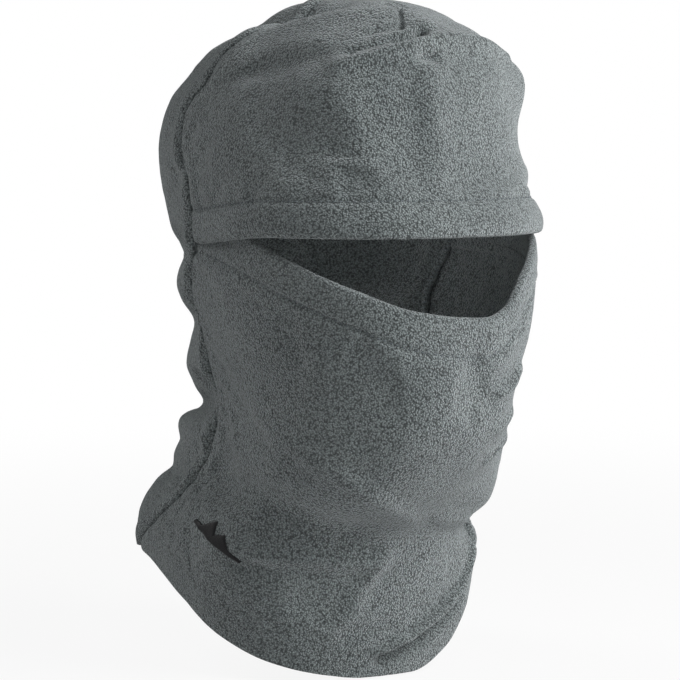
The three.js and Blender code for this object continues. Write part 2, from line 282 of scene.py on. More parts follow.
def rim_rows(outer, inner, beyond, bulge, steps):
    """Rows of points that round an edge over from its outer face to its inner face."""
    middle = (outer + inner) / 2
    arm = (outer - inner) / 2
    half = np.linalg.norm(arm, axis=-1, keepdims=True)
    outward = outer - beyond
    outward = outward - arm * np.sum(outward * arm, -1, keepdims=True) / np.maximum(half ** 2, 1e-9)
    outward = outward / np.maximum(np.linalg.norm(outward, axis=-1, keepdims=True), 1e-9)
    count = len(outer)
    taper = np.minimum(1, np.minimum(np.arange(count), np.arange(count)[::-1]) / 5)[:, None]
    rows = []
    for k in range(1, steps):
        turn = math.pi * k / steps
        rows.append(middle + arm * math.cos(turn) + outward * half * bulge * taper * math.sin(turn))
    return rows


def sheet(name, outer, thickness, material, top_bulge, bottom_bulge, steps=6):
    """A closed double-faced sheet from its outer face, a grid of points, and its thickness."""
    rows, columns = outer.shape[:2]
    inner = outer - normals(outer) * thickness[..., None]
    points = [outer.reshape(-1, 3), inner.reshape(-1, 3)]
    faces = []
    index = np.arange(rows * columns).reshape(rows, columns)
    layer = rows * columns

    def strip(first, second):
        for i in range(len(first) - 1):
            faces.append((int(first[i]), int(first[i + 1]), int(second[i + 1]), int(second[i])))

    for j in range(rows - 1):
        strip(index[j], index[j + 1])
        strip(layer + index[j + 1], layer + index[j])
    edges = [(index[0], index[1], bottom_bulge), (index[-1], index[-2], top_bulge),
             (index[:, 0], index[:, 1], 0), (index[:, -1], index[:, -2], 0)]
    flat_outer, flat_inner = points[0], points[1]
    total = 2 * layer
    for edge, beside, bulge in edges:
        last = edge
        for row in rim_rows(flat_outer[edge], flat_inner[edge], flat_outer[beside], bulge, steps):
            points.append(row)
            current = np.arange(total, total + len(row))
            total += len(row)
            strip(last, current)
            last = current
        strip(last, layer + edge)
    return mesh_from(name, np.concatenate(points), faces, material)


def tube_rings(path, radius, sides=6):
    """Rings of points around a path of points."""
    path = np.asarray(path, float)
    ahead = np.gradient(path, axis=0)
    ahead /= np.maximum(np.linalg.norm(ahead, axis=1, keepdims=True), 1e-9)
    side = np.cross(ahead, (0.3, 0.2, 1.0))
    side /= np.linalg.norm(side, axis=1, keepdims=True)
    up = np.cross(side, ahead)
    radius = np.broadcast_to(radius, len(path))[:, None, None]
    turn = np.linspace(0, 2 * math.pi, sides, endpoint=False)[None, :, None]
    return path[:, None] + radius * (np.cos(turn) * side[:, None] + np.sin(turn) * up[:, None])


def tubes(name, paths, radius, material, sides=6):
    """One mesh of many closed tubes with rounded ends, such as the stitches of a seam."""
    points, faces = [], []
    total = 0
    for path in paths:
        count = len(path)
        swell = np.ones(count)
        swell[0] = swell[-1] = 0.35
        rings = tube_rings(path, radius * swell, sides)
        points.append(rings.reshape(-1, 3))
        for i in range(count - 1):
            for k in range(sides):
                a = total + i * sides + k
                b = total + i * sides + (k + 1) % sides
                faces.append((a, b, b + sides, a + sides))
        faces.append(tuple(range(total + sides - 1, total - 1, -1)))
        faces.append(tuple(range(total + (count - 1) * sides, total + count * sides)))
        total += count * sides
    return mesh_from(name, np.concatenate(points), faces, material)


# ---- materials ----------------------------------------------------------------------------
class Nodes:
    """A short way to build a material's node tree."""

    def __init__(self, name):
        self.material = bpy.data.materials.new(name)
        self.material.use_nodes = True
        self.tree = self.material.node_tree
        self.surface = self.tree.nodes["Principled BSDF"]
        self.place = self.tree.nodes.new("ShaderNodeTexCoord").outputs["Object"]

    def add(self, kind, inputs=None, **settings):
        node = self.tree.nodes.new("ShaderNode" + kind)
        for key, value in settings.items():
            setattr(node, key, value)
        for key, value in (inputs or {}).items():
            self.set(node.inputs[key], value)
        return node

    def set(self, socket, value):
        if isinstance(value, bpy.types.NodeSocket):
            self.tree.links.new(value, socket)
        else:
            socket.default_value = value

    def noise(self, scale, detail=2.0, roughness=0.5, vector=None):
        vector = vector or self.place
        return self.add("TexNoise", {"Vector": vector, "Scale": scale, "Detail": detail,
                                     "Roughness": roughness}).outputs["Fac"]

    def math(self, operation, a, b=0.5):
        return self.add("Math", {0: a, 1: b}, operation=operation).outputs[0]

    def ramp(self, fac, stops):
        node = self.add("ValToRGB", {"Fac": fac})
        elements = node.color_ramp.elements
        while len(elements) < len(stops):
            elements.new(0.5)
        for element, (position, colour) in zip(elements, stops):
            element.position = position
            element.color = (*colour, 1)
        return node.outputs["Color"]

    def mix(self, fac, a, b, blend="MIX"):
        node = self.add("Mix", data_type="RGBA", blend_type=blend)
        self.set(node.inputs["Factor"], fac)
        self.set(node.inputs[6], a)
        self.set(node.inputs[7], b)
        return node.outputs[2]

    def bump(self, height, strength, distance, normal=None):
        inputs = {"Height": height, "Strength": strength, "Distance": distance}
        if normal is not None:
            inputs["Normal"] = normal
        return self.add("Bump", inputs).outputs["Normal"]

    def finish(self, **inputs):
        for key, value in inputs.items():
            self.set(self.surface.inputs[key.replace("_", " ")], value)
        return self.material


def shade(base, factor):
    return tuple(channel * factor for channel in base)


RECORD_COLOURS = {m["slot"]: tuple(m["base_color"][:3]) for m in frame["record"]["materials"]}


def fleece(name, tint):
    """Napped microfleece: curled nubs of pile a millimetre across, with painted shade in the pits between
    them and painted highlights on their tips.
    """
    nodes = Nodes(name)
    base = tuple(a * b for a, b in zip(RECORD_COLOURS["fleece"], tint))
    warp = nodes.add("TexNoise", {"Vector": nodes.place, "Scale": 560, "Detail": 2.0}).outputs["Color"]
    shifted = nodes.add("VectorMath", {0: warp, 1: (0.5, 0.5, 0.5)}, operation="SUBTRACT").outputs[0]
    scaled = nodes.add("VectorMath", {0: shifted, "Scale": 0.0012}, operation="SCALE").outputs[0]
    curled = nodes.add("VectorMath", {0: nodes.place, 1: scaled}, operation="ADD").outputs[0]
    nubs = nodes.add("TexVoronoi", {"Vector": curled, "Scale": 1120, "Smoothness": 0.5},
                     feature="SMOOTH_F1").outputs["Distance"]
    nub = nodes.math("SUBTRACT", 1.0, nodes.math("MULTIPLY", nubs, 1.25))
    lint = nodes.noise(1900, detail=3.0, roughness=0.7)
    clumps = nodes.noise(260, detail=2.0, roughness=0.6)
    fuzz = nodes.math("ADD", nodes.math("MULTIPLY", lint, 0.25), nodes.math("MULTIPLY", clumps, 0.15))
    pile = nodes.math("ADD", nodes.math("MULTIPLY", nub, 0.6), fuzz)
    # The pile's height sets the colour: painted shade in the pits between the nubs and painted highlights on
    # their tips, with the grey's own random tone from the lint and clumps.
    colour = nodes.ramp(pile, [(0.28, shade(base, 0.34)), (0.43, shade(base, 0.79)),
                               (0.57, shade(base, 1.23)), (0.75, shade(base, 1.78))])
    wear = nodes.noise(38, detail=3.0, roughness=0.55)
    colour = nodes.mix(1.0, colour, nodes.ramp(wear, [(0.3, (0.86, 0.87, 0.88)), (0.7, (1.08, 1.08, 1.08))]),
                       blend="MULTIPLY")
    coarse = nodes.bump(clumps, 0.25, 0.0008)
    relief = nodes.bump(pile, 1.0, 0.0016, coarse)
    return nodes.finish(Base_Color=colour, Roughness=0.93, Specular_IOR_Level=0.15, Normal=relief,
                        Sheen_Weight=0.55, Sheen_Roughness=0.45, Sheen_Tint=(0.86, 0.9, 0.92, 1))


def sewing_thread(name, tint):
    nodes = Nodes(name)
    base = shade(RECORD_COLOURS["thread"], tint)
    twist = nodes.add("TexWave", {"Vector": nodes.place, "Scale": 900, "Distortion": 3.0, "Detail": 1.0},
                      bands_direction="DIAGONAL").outputs["Fac"]
    colour = nodes.ramp(twist, [(0.2, shade(base, 0.6)), (0.8, shade(base, 1.3))])
    return nodes.finish(Base_Color=colour, Roughness=0.62, Sheen_Weight=0.3,
                        Normal=nodes.bump(twist, 0.5, 0.0002))


def embroidery(name):
    nodes = Nodes(name)
    strands = nodes.add("TexWave", {"Vector": nodes.place, "Scale": 1100, "Distortion": 1.5},
                        bands_direction="Z").outputs["Fac"]
    base = RECORD_COLOURS["embroidery"]
    colour = nodes.ramp(strands, [(0.1, shade(base, 0.7)), (0.9, shade(base, 1.8))])
    return nodes.finish(Base_Color=colour, Roughness=0.45, Specular_IOR_Level=0.35,
                        Normal=nodes.bump(strands, 0.4, 0.0002))


def woven_label(name):
    nodes = Nodes(name)
    base = RECORD_COLOURS["label"]
    weft = nodes.add("TexWave", {"Vector": nodes.place, "Scale": 700}, bands_direction="Z").outputs["Fac"]
    warp = nodes.add("TexWave", {"Vector": nodes.place, "Scale": 700}, bands_direction="Y").outputs["Fac"]
    weave = nodes.math("MULTIPLY", weft, warp)
    colour = nodes.ramp(weave, [(0.1, shade(base, 0.8)), (0.8, base)])
    return nodes.finish(Base_Color=colour, Roughness=0.5, Sheen_Weight=0.2,
                        Normal=nodes.bump(weave, 0.3, 0.0002))


FLEECE_GREY = fleece("fleece_grey", (0.98, 1.0, 0.95))
THREAD = sewing_thread("thread_grey", 1.0)
OVERLOCK_THREAD = sewing_thread("overlock_thread_grey", 1.8)
EMBROIDERY = embroidery("embroidery_black")
LABEL = woven_label("label_white")


# ---- folds --------------------------------------------------------------------------------
# Folds as (path, width, depth), from the crown down: a path is a few (angle, height) points.
FOLDS = [
    # crown: a hump on each side of the dart's pull, and the creases under the humps
    ([(96, 300), (84, 312), (68, 318), (50, 322), (24, 326), (6, 322)], 9, 3.6),
    ([(130, 315), (110, 321), (90, 325), (70, 329)], 10, -9.0),
    ([(88, 316), (63, 325), (40, 328), (10, 329)], 7, -2.6),
    ([(12, 329), (6, 322), (0, 314), (-2, 303)], 20, -4.0),
    ([(-25, 327), (-45, 319), (-58, 306)], 15, -3.2),
    ([(140, 320)], 16, -2.6),
    ([(24, 330), (24.5, 325), (24.5, 317.5)], 1.5, -2.4),
    ([(44, 303), (36, 306.5), (29, 309.8)], 2.2, -2.4),
    ([(28, 310.2), (22, 312.4), (17, 314.4), (12.5, 316)], 2.4, -5.6),
    ([(46, 297), (36, 302), (28, 306), (20, 309), (12, 311.5), (2, 312.5), (-12, 312), (-28, 308),
      (-44, 301)], 4.2, 3.4),
    ([(16, 319.5), (6, 319.5), (-6, 318)], 4, 1.4),
    ([(40, 313), (32, 316), (24, 319)], 2.2, -1.8),
    ([(12.5, 316)], 3.0, -3.4),
    ([(3, 313), (-10, 311.5)], 6, 1.6),
    ([(14, 303), (6, 302)], 3, -4.0),
    ([(-4, 302), (-20, 300)], 5, -1.6),
    ([(92, 288), (85, 299), (72, 306), (52, 309)], 8, 2.2),
    ([(94, 280), (84, 290), (70, 298), (50, 303)], 7, -2.2),
    ([(140, 298), (124, 296), (108, 298)], 14, -1.4),
    ([(-50, 291)], 15, 7.0),
    ([(-68, 268), (-56, 264), (-42, 264)], 13, -2.8),
    ([(-80, 237), (-60, 237), (-38, 237)], 9, -3.8),
    ([(66, 292)], 14, -1.6),
    ([(52, 286)], 22, 2.4),
    # forehead: the corners between its sides and its front
    ([(44, 290), (38, 274), (31, 258), (25, 242)], 12, 2.6),
    ([(10, 300), (9, 280), (8.5, 262), (9, 244)], 8, 1.8),
    ([(20, 296), (17, 278), (15, 262)], 7, -1.2),
    # mask: pulls beside the nose, and a tight line from the ear down to the throat
    ([(-17, 141), (-26, 145), (-34, 154)], 2.6, 2.2),
    ([(-16, 149), (-26, 155), (-34, 164)], 5, -1.8),
    ([(-17, 124), (-26, 127), (-34, 133)], 3.0, 1.7),
    ([(-20, 107), (-28, 113), (-36, 120)], 2.6, 1.8),
    ([(-44, 160), (-38, 138)], 12, -1.8),
    ([(84, 134), (60, 116), (40, 106)], 42, 6.6),
    ([(80, 133), (62, 119), (37.5, 103), (20.5, 91), (2, 79)], 5.5, 1.7),
    ([(94, 101), (84, 96), (66, 90), (44, 83), (22, 74)], 11, -5.2),
    ([(62, 63), (40, 60.5), (20, 59), (8, 58)], 4.5, 1.6),
    ([(-6, 84), (-20, 94), (-34, 108)], 13, -1.9),
    ([(-4, 170), (-4, 136)], 12, -1.6),
    ([(100, 148), (80, 152), (60, 146)], 9, -1.0),
    ([(-60, 120), (-78, 126), (-98, 132)], 9, -2.0),
    ([(-58, 134), (-78, 142), (-98, 150)], 9, 2.0),
    ([(62, 190), (78, 196), (96, 196)], 8, 1.2),
    # bib: the throat's waist, the flare under it, and a roll along the hem on the wearer's left
    ([(-78, 72), (-58, 71), (-44, 70), (-33, 70)], 8, -7.4),
    ([(-26, 75), (-17, 77), (-8, 79)], 5, 1.4),
    ([(-80, 60), (-62, 54), (-48, 46), (-38, 38)], 14, -3.4),
    ([(9, 64), (14, 52), (20, 38), (24, 27)], 4.5, 1.8),
    ([(32, 62), (34, 46), (36, 30)], 10, -1.6),
    ([(9, 12), (3.5, 14.5), (-4, 18.5), (-11.5, 24), (-22, 32), (-31, 43), (-35.5, 54),
      (-36.5, 60)], 3.0, 3.4),
    ([(8, 7.5), (2, 9.5), (-6, 13), (-14, 18.5), (-26.5, 28), (-36, 42), (-41.5, 54), (-43, 66)], 3.2, -5.6),
    # nape: the fleece stacks up in rolls where the head meets the neck
    ([(114, 208), (125, 206), (140, 203)], 9, -4.6),
    ([(112, 190), (140, 188), (180, 190), (220, 188), (248, 190)], 9, 1.0),
    ([(116, 172), (140, 169), (180, 169), (220, 170), (244, 173)], 8, -4.2),
    ([(112, 150), (135, 148), (180, 151), (222, 147), (248, 153)], 9, 3.8),
    ([(108, 131), (130, 129), (160, 128), (200, 131), (230, 129), (252, 131)], 5, -4.2),
    ([(119, 146), (113, 142), (110, 138)], 4, -3.0),
    ([(108, 116), (130, 116), (180, 115), (228, 117), (252, 115)], 8, 4.2),
    ([(110, 94), (140, 93), (180, 96), (220, 93), (250, 95)], 6, -2.4),
    ([(112, 80), (140, 80), (180, 82), (220, 79), (248, 80)], 8, 0.6),
    ([(118, 64)], 11, 1.4),
    ([(150, 230), (165, 190), (168, 150)], 10, 1.6),
    ([(205, 240), (195, 200), (198, 160)], 9, -1.6),
]


def dart_keys(angle, end):
    """Angles and heights of a dart, from the crown down the middle of a panel to where it ends."""
    height = CROWN - (CROWN - end) * np.linspace(0.02, 1, 400) ** 4
    return np.full(height.shape, float(angle)), height


FRONT_DART = dart_keys(0, FRONT_DART_END)
BACK_DART = dart_keys(180, BACK_DART_END)
DARTS = [resampled(head(*keys), 1.0) for keys in (FRONT_DART, BACK_DART)]
SEAM = head(*seam_keys(SEAM_FOOT - 6))


def folded(points):
    """What the seams and folds of the whole hood do to its surface, the same for every panel."""
    away, place = distance_to(points, SEAM)
    pucker = np.sin(place * 0.19 + 2 * np.sin(place * 0.037)) * bump(away - 5, 4)
    lift = -SEAM_DEPTH * bump(away, SEAM_WIDTH) + 0.5 * bump(away - 6, 4) + PUCKER * pucker
    for line in DARTS:
        away, place = distance_to(points, line)
        lift = lift - DART_DEPTH * smoothstep(1, 0.6, place / len(line)) * bump(away, DART_WIDTH)
    for spec in FOLDS:
        lift = lift + fold(points, *spec)
    return (lift + 0.7 * wander(points, 34, 11) + 0.18 * wander(points, 13, 12)
            + 0.1 * wander(points, 4, 13))


def shaped(angle, height, stand_off, relief):
    """The head surface, eased where the dome starts, moved out by its folds and other relief."""
    eased = bump(height - DOME_START, 14)[..., None]

    def ease(surface):
        around = [surface(angle, height + step) for step in (-9, -6, -3, 3, 6, 9)]
        return surface(angle, height) * (1 - eased) + sum(around) / len(around) * eased

    base = ease(head)
    lift = folded(base) + stand_off + relief
    return base + ease(head_normal) * lift[..., None]


def on_cloth(angle, height):
    """A line of points on the folded cloth."""
    return shaped(angle[None], height[None], 0.0, 0.0)[0]


# ---- cloth settle -------------------------------------------------------------------------
SETTLE_STEP = 4                 # one simulated point for this many mesh points
SETTLE_FRAMES = 16
SETTLE_GROWTH = 0.015           # the cloth is cut this much larger than the shape it hangs on
SETTLE_CAP = 1.3                # how far, in millimetres, a point may settle


def settled(outer, held):
    """A panel's outer face after a short cloth simulation of a coarser copy of it.

    held is 1 where the panel is sewn to its neighbours and less where it is free."""
    rows = np.unique(np.append(np.arange(0, outer.shape[0], SETTLE_STEP), outer.shape[0] - 1))
    columns = np.unique(np.append(np.arange(0, outer.shape[1], SETTLE_STEP), outer.shape[1] - 1))
    coarse = outer[np.ix_(rows, columns)]
    index = np.arange(coarse.shape[0] * coarse.shape[1]).reshape(coarse.shape[:2])
    quads = np.stack([index[:-1, :-1], index[:-1, 1:], index[1:, 1:], index[1:, :-1]], -1).reshape(-1, 4)
    mesh = bpy.data.meshes.new("settling")
    mesh.from_pydata((coarse.reshape(-1, 3) * MM).tolist(), [], quads.tolist())
    cloth = bpy.data.objects.new("settling", mesh)
    bpy.context.scene.collection.objects.link(cloth)
    pins = cloth.vertex_groups.new(name="pins")
    for vertex, weight in enumerate(held[np.ix_(rows, columns)].ravel()):
        pins.add([vertex], float(weight), "REPLACE")
    settings = cloth.modifiers.new("Cloth", "CLOTH").settings
    settings.quality = 6
    settings.mass = 0.02
    settings.bending_stiffness = 0.4
    settings.shrink_min = -SETTLE_GROWTH
    settings.vertex_group_mass = "pins"
    settings.pin_stiffness = 0.6
    for frame_number in range(1, SETTLE_FRAMES + 1):
        bpy.context.scene.frame_set(frame_number)
    result = cloth.evaluated_get(bpy.context.evaluated_depsgraph_get()).to_mesh()
    moved = np.empty(len(result.vertices) * 3)
    result.vertices.foreach_get("co", moved)
    moved = moved.reshape(coarse.shape) / MM - coarse
    bpy.data.objects.remove(cloth)
    bpy.context.scene.frame_set(1)
    length = np.linalg.norm(moved, axis=-1, keepdims=True)
    moved = moved * SETTLE_CAP * np.tanh(length / SETTLE_CAP) / np.maximum(length, 1e-9)
    moved = spread(spread(moved, rows, outer.shape[0], 0), columns, outer.shape[1], 1)
    return outer + moved


def spread(values, known, count, axis):
    """Smoothly fills in a grid between its known rows or columns."""
    at = np.arange(count)
    i = np.clip(np.searchsorted(known, at, side="right") - 1, 0, len(known) - 2)
    t = (at - known[i]) / (known[i + 1] - known[i])
    values = np.moveaxis(values, axis, 0)

    def pick(k):
        return values[np.clip(k, 0, len(known) - 1)]

    t = t.reshape(-1, *[1] * (values.ndim - 1))
    slope_a = (pick(i + 1) - pick(i - 1)) / 2
    slope_b = (pick(i + 2) - pick(i)) / 2
    filled = ((1 + 2 * t) * (1 - t) ** 2 * pick(i) + t * (1 - t) ** 2 * slope_a
              + t * t * (3 - 2 * t) * pick(i + 1) - t * t * (1 - t) * slope_b)
    return np.moveaxis(filled, 0, axis)


def sewn(rows, columns, bottom, top):
    """How firmly each point of a panel is held: fully at its seams, by the given amounts at its
    bottom and top edges, and hardly at all between."""
    side = np.linspace(-1, 1, columns)[None, :]
    share = np.linspace(0, 1, rows)[:, None]
    held = 0.04 + 0.96 * smoothstep(0.89, 1.0, np.abs(side)) + 0 * share
    held = np.maximum(held, bottom * smoothstep(0.13, 0.08, share))
    return np.maximum(held, top * smoothstep(0.87, 0.92, share))


# ---- the panels ---------------------------------------------------------------------------
def brow_foot(angle):
    return along(BROW_EDGE, angle) + HEM_ROUND


def mask_edge(angle):
    return along(MASK_EDGE, angle)


def bottom_edge(angle):
    return along(BOTTOM_EDGE, angle)


def crown(angle):
    return np.full_like(angle, CROWN)


def forehead_outer():
    """The forehead panel's outer face, with each point's angle and height above the brow's edge."""
    columns, rows = 211, 150
    heights = even_heights(along(BROW_EDGE, 0.0), 40, rows)
    shares = (heights - heights[0]) / (CROWN - heights[0])
    angle, height = front_grid(brow_foot, crown, columns, rows, shares)
    up = height - along(BROW_EDGE, angle)
    stitched = (0.5 * bump(up - BROW_HEM_DEPTH / 2, 7) - BROW_EDGE_ROLL * bump(up, 3.5)
                - BROW_STITCH_DEPTH * bump(up - BROW_HEM_DEPTH, STITCH_WIDTH))
    outer = shaped(angle, height, brow_stand_off(angle, height), stitched)
    return settled(outer, sewn(rows, columns, 1.0, 1.0)), angle, up


def mask_outer():
    """The mask panel's outer face, with each point's angle and depth below the mask's edge."""
    columns, rows = 281, 160
    shares = np.linspace(0, 1, rows)
    angle, height = front_grid(bottom_edge, mask_edge, columns, rows, shares)
    down = mask_edge(angle) - height
    stitched = (0.4 * bump(down - MASK_HEM_DEPTH / 2, 7)
                - MASK_STITCH_DEPTH * bump(down - MASK_HEM_DEPTH, STITCH_WIDTH))
    outer = shaped(angle, height, mask_tuck(angle, height), stitched)
    return settled(outer, sewn(rows, columns, 1.0, 1.0)), angle, down


def back_outer():
    """The back panel's outer face, with each point's angle."""
    columns, rows = 171, 215
    heights = even_heights(48, 150, rows)
    shares = (heights - heights[0]) / (CROWN - heights[0])
    side = -sides(columns)[None, :]
    angle = 180 + side * np.full((rows, 1), 72)
    for _ in range(5):
        low = bottom_edge(np.where(angle > 180, angle - 360, angle))
        height = low + (CROWN - low) * shares[:, None]
        angle = 180 + side * (180 - seam_angle(height))
    away = distance_to(head(angle, height), SEAM)[0]
    welt = WELT * bump(away - 4.5, 3) * (1 - bump(away, 2))
    outer = shaped(angle, height, 0.0, welt)
    return settled(outer, sewn(rows, columns, 1.0, 1.0)), angle


def hem_thickness(angle, from_edge, depth):
    """Two plies inside the hem and one beyond its topstitch, pressed thinner near the ears."""
    hem = 1 - smoothstep(depth + 0.5, depth + 2.5, from_edge)
    return FLEECE + (HEM_THICKNESS - FLEECE) * hem * (1 - 0.4 * near_ear(angle))


def near_ear(angle):
    return smoothstep(60, 95, np.abs(angle))


def brow_stand_off(angle, height):
    """How far the brow stands outside the head surface: it flares towards its hem."""
    flare = 1 - smoothstep(FLARE_START, BROW_TOP, height)
    sides = 1 - 0.72 * near_ear(angle) - 0.28 * smoothstep(86, 100, np.abs(angle))
    return flare * BROW_STAND_OFF * sides


def mask_tuck(angle, height):
    """The mask's top corners sink in under the brow."""
    return -MASK_CORNER_TUCK * smoothstep(62, 92, np.abs(angle)) * smoothstep(203, 213, height)


def sides(columns):
    """Where each column of a panel lies between its seams, -1 to 1, closer together beside them."""
    even = np.linspace(-1, 1, columns)
    return 0.5 * even + 0.5 * np.sin(math.pi / 2 * even)


def front_grid(low, high, columns, rows, shares):
    """Angles and heights of a panel in front of the arch seam, between two edges."""
    side = sides(columns)[None, :]
    angle = np.broadcast_to(100 * side, (rows, columns))
    for _ in range(5):
        height = low(angle) + (high(angle) - low(angle)) * shares[:, None]
        angle = side * seam_angle(height)
    return angle, height


def even_heights(low, angle, rows):
    """Heights from low to the crown, spaced evenly along the surface at an angle."""
    height = CROWN - (CROWN - low) * np.linspace(1, 0, 600) ** 2.0
    points = head(np.full_like(height, angle), height)
    length = np.concatenate(([0], np.cumsum(np.linalg.norm(np.diff(points, axis=0), axis=1))))
    return np.interp(np.linspace(0, length[-1], rows), length, height)


# ---- things sewn onto the panels ----------------------------------------------------------
def on_grid(grid, columns_at, rows_at):
    """Values picked from a grid at fractional columns and rows."""
    rows_at = np.clip(rows_at, 0, grid.shape[0] - 1.001)
    columns_at = np.clip(columns_at, 0, grid.shape[1] - 1.001)
    j, i = rows_at.astype(int), columns_at.astype(int)
    t, u = (rows_at - j)[:, None], (columns_at - i)[:, None]
    low = (1 - u) * grid[j, i] + u * grid[j, i + 1]
    high = (1 - u) * grid[j + 1, i] + u * grid[j + 1, i + 1]
    return (1 - t) * low + t * high


def row_where(values, level, columns_at):
    """The fractional row at which each column of a grid of rising or falling values hits a level."""
    rows_at = []
    for column in columns_at:
        line = values[:, int(round(column))]
        order = np.argsort(line)
        rows_at.append(np.interp(level, line[order], order))
    return np.array(rows_at)


STITCH = 2.6
STITCH_GAP = 0.7
STITCH_RADIUS = 0.34
STITCH_DETAIL = 0.2             # spacing of the points that stitches are cut from


def topstitch(name, outer, values, level, margin, node):
    """A row of single stitches along a hem, each pulled into the fleece at both ends."""
    columns_at = np.arange(margin, outer.shape[1] - margin, 1.0)
    rows_at = row_where(values, level, columns_at)
    normal = on_grid(normals(outer), columns_at, rows_at)
    path = np.concatenate([on_grid(outer, columns_at, rows_at), normal], -1)
    fine = resampled(path, STITCH_DETAIL)
    stitch, gap = int(STITCH / STITCH_DETAIL), int(STITCH_GAP / STITCH_DETAIL)
    stitches = []
    for start in range(0, len(fine) - stitch, stitch + gap):
        part = fine[start:start + stitch + 1:3]
        t = np.linspace(-1, 1, len(part))[:, None]
        stitches.append(part[:, :3] + part[:, 3:] * (0.3 - 0.85 * t ** 4))
    piece = tubes(name, stitches, STITCH_RADIUS, THREAD)
    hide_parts(node)
    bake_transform(piece)


def frames_along(path, core_height):
    """Inward and sideways directions along a seam path."""
    ahead = np.gradient(path, axis=0)
    ahead /= np.linalg.norm(ahead, axis=1, keepdims=True)
    core = np.stack([0 * path[:, 0], 0 * path[:, 0] + POLE_Y, np.minimum(path[:, 2], core_height)], -1)
    inward = core - path
    inward -= ahead * np.sum(inward * ahead, -1, keepdims=True)
    inward /= np.linalg.norm(inward, axis=1, keepdims=True)
    return inward, np.cross(ahead, inward)


ALLOWANCE_WIDTH = 3.0
ALLOWANCE_DEPTH = 3.8
ALLOWANCE_START = 2.2
ALLOWANCE_WAVE = 0.35
OVERLOCK_STEP = 2.4             # spacing of the overlock's loops
OVERLOCK_RADIUS = 0.28


def squarish(value):
    """A sine or cosine pushed outwards, so that a circle becomes a rounded square."""
    return np.sign(value) * np.abs(value) ** 0.6


def allowance(seam, path):
    """The two cut edges of a seam standing inside the hood, bound together by overlock loops."""
    path = resampled(path, 2.0)
    path[1:-1] = (path[:-2] + 2 * path[1:-1] + path[2:]) / 4
    inward, side = frames_along(path, 200)
    wave = ALLOWANCE_WAVE * np.sin(np.arange(len(path)) * 0.9)[:, None]
    depth = ALLOWANCE_START + ALLOWANCE_DEPTH / 2
    rings = []
    for turn in np.linspace(0, 2 * math.pi, 12, endpoint=False):
        inwards = depth + ALLOWANCE_DEPTH / 2 * squarish(math.cos(turn)) + wave * 0.5
        sideways = ALLOWANCE_WIDTH / 2 * squarish(math.sin(turn)) + wave
        rings.append(path + inward * inwards + side * sideways)
    points = np.stack(rings, 1)
    count, sides = points.shape[:2]
    faces = []
    for i in range(count - 1):
        for k in range(sides):
            a, b = i * sides + k, i * sides + (k + 1) % sides
            faces.append((a, b, b + sides, a + sides))
    faces.append(tuple(range(sides - 1, -1, -1)))
    faces.append(tuple(range((count - 1) * sides, count * sides)))
    strip = mesh_from(seam + "_allowance_stitch", points.reshape(-1, 3), faces, FLEECE_GREY)
    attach(strip, "hood")
    path = resampled(path, 0.5)
    inward, side = frames_along(path, 200)
    turn = np.arange(len(path)) * 0.5 / OVERLOCK_STEP * 2 * math.pi
    loop = (path + inward * (depth + (ALLOWANCE_DEPTH / 2 + 0.25) * np.cos(turn))[:, None]
            + side * ((ALLOWANCE_WIDTH / 2 + 0.25) * np.sin(turn))[:, None])
    chain = path + inward * (depth - 0.6) + side * (ALLOWANCE_WIDTH / 2 + 0.3)
    threads = tubes(seam + "_overlock_stitch", [loop, chain], OVERLOCK_RADIUS, OVERLOCK_THREAD)
    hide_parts(seam + "_overlock")
    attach(threads, "hood")


EMBLEM_ANGLE = 71
EMBLEM_HEIGHT = 70
EMBLEM_TURN = math.radians(-24)
EMBLEM_PEAKS = [(-20, -2.6), (-13, -1.8), (-6.5, 4.6), (-1, -0.4), (4.5, 3), (11, -1.8), (20, -2.6)]
EMBLEM_BASE = -4.4
EMBLEM_LIFT = 0.75
SATIN_STEP = 0.44
SATIN_SLANT = 0.5
SATIN_RADIUS = 0.3


def emblem(outer):
    """Two small peaks in satin stitch, lying on the bib's surface."""
    beside = head(np.array([EMBLEM_ANGLE - 0.5, EMBLEM_ANGLE + 0.5]), EMBLEM_HEIGHT)
    degree = np.linalg.norm(beside[1] - beside[0])
    normal_grid = normals(outer)

    def lay(x, y, lift):
        """Points of the bib under the emblem's flat drawing, lifted off the fleece."""
        across = x * math.cos(EMBLEM_TURN) - y * math.sin(EMBLEM_TURN)
        height = EMBLEM_HEIGHT + x * math.sin(EMBLEM_TURN) + y * math.cos(EMBLEM_TURN)
        angle = EMBLEM_ANGLE - across / degree
        column = np.interp(angle / seam_angle(height), sides(outer.shape[1]), np.arange(outer.shape[1]))
        low = bottom_edge(angle)
        row = (height - low) / (mask_edge(angle) - low) * (outer.shape[0] - 1)
        return on_grid(outer, column, row) + on_grid(normal_grid, column, row) * lift[:, None]

    peaks = np.array(EMBLEM_PEAKS, float)
    rng = np.random.default_rng(5)
    stitches = []
    for x in np.arange(peaks[0, 0], peaks[-1, 0], SATIN_STEP):
        top = np.interp(x, peaks[:, 0], peaks[:, 1]) + rng.uniform(-0.15, 0.15)
        base = EMBLEM_BASE + rng.uniform(-0.1, 0.1)
        t = np.linspace(-1, 1, 4 + int(top - base) * 2)
        y = (top + base) / 2 + t * (top - base) / 2
        stitches.append(lay(x + SATIN_SLANT * t, y, EMBLEM_LIFT - 1.0 * t ** 6))
    piece = tubes("emblem_satin", stitches, SATIN_RADIUS, EMBROIDERY)
    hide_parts("emblem")
    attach(piece, "hood")


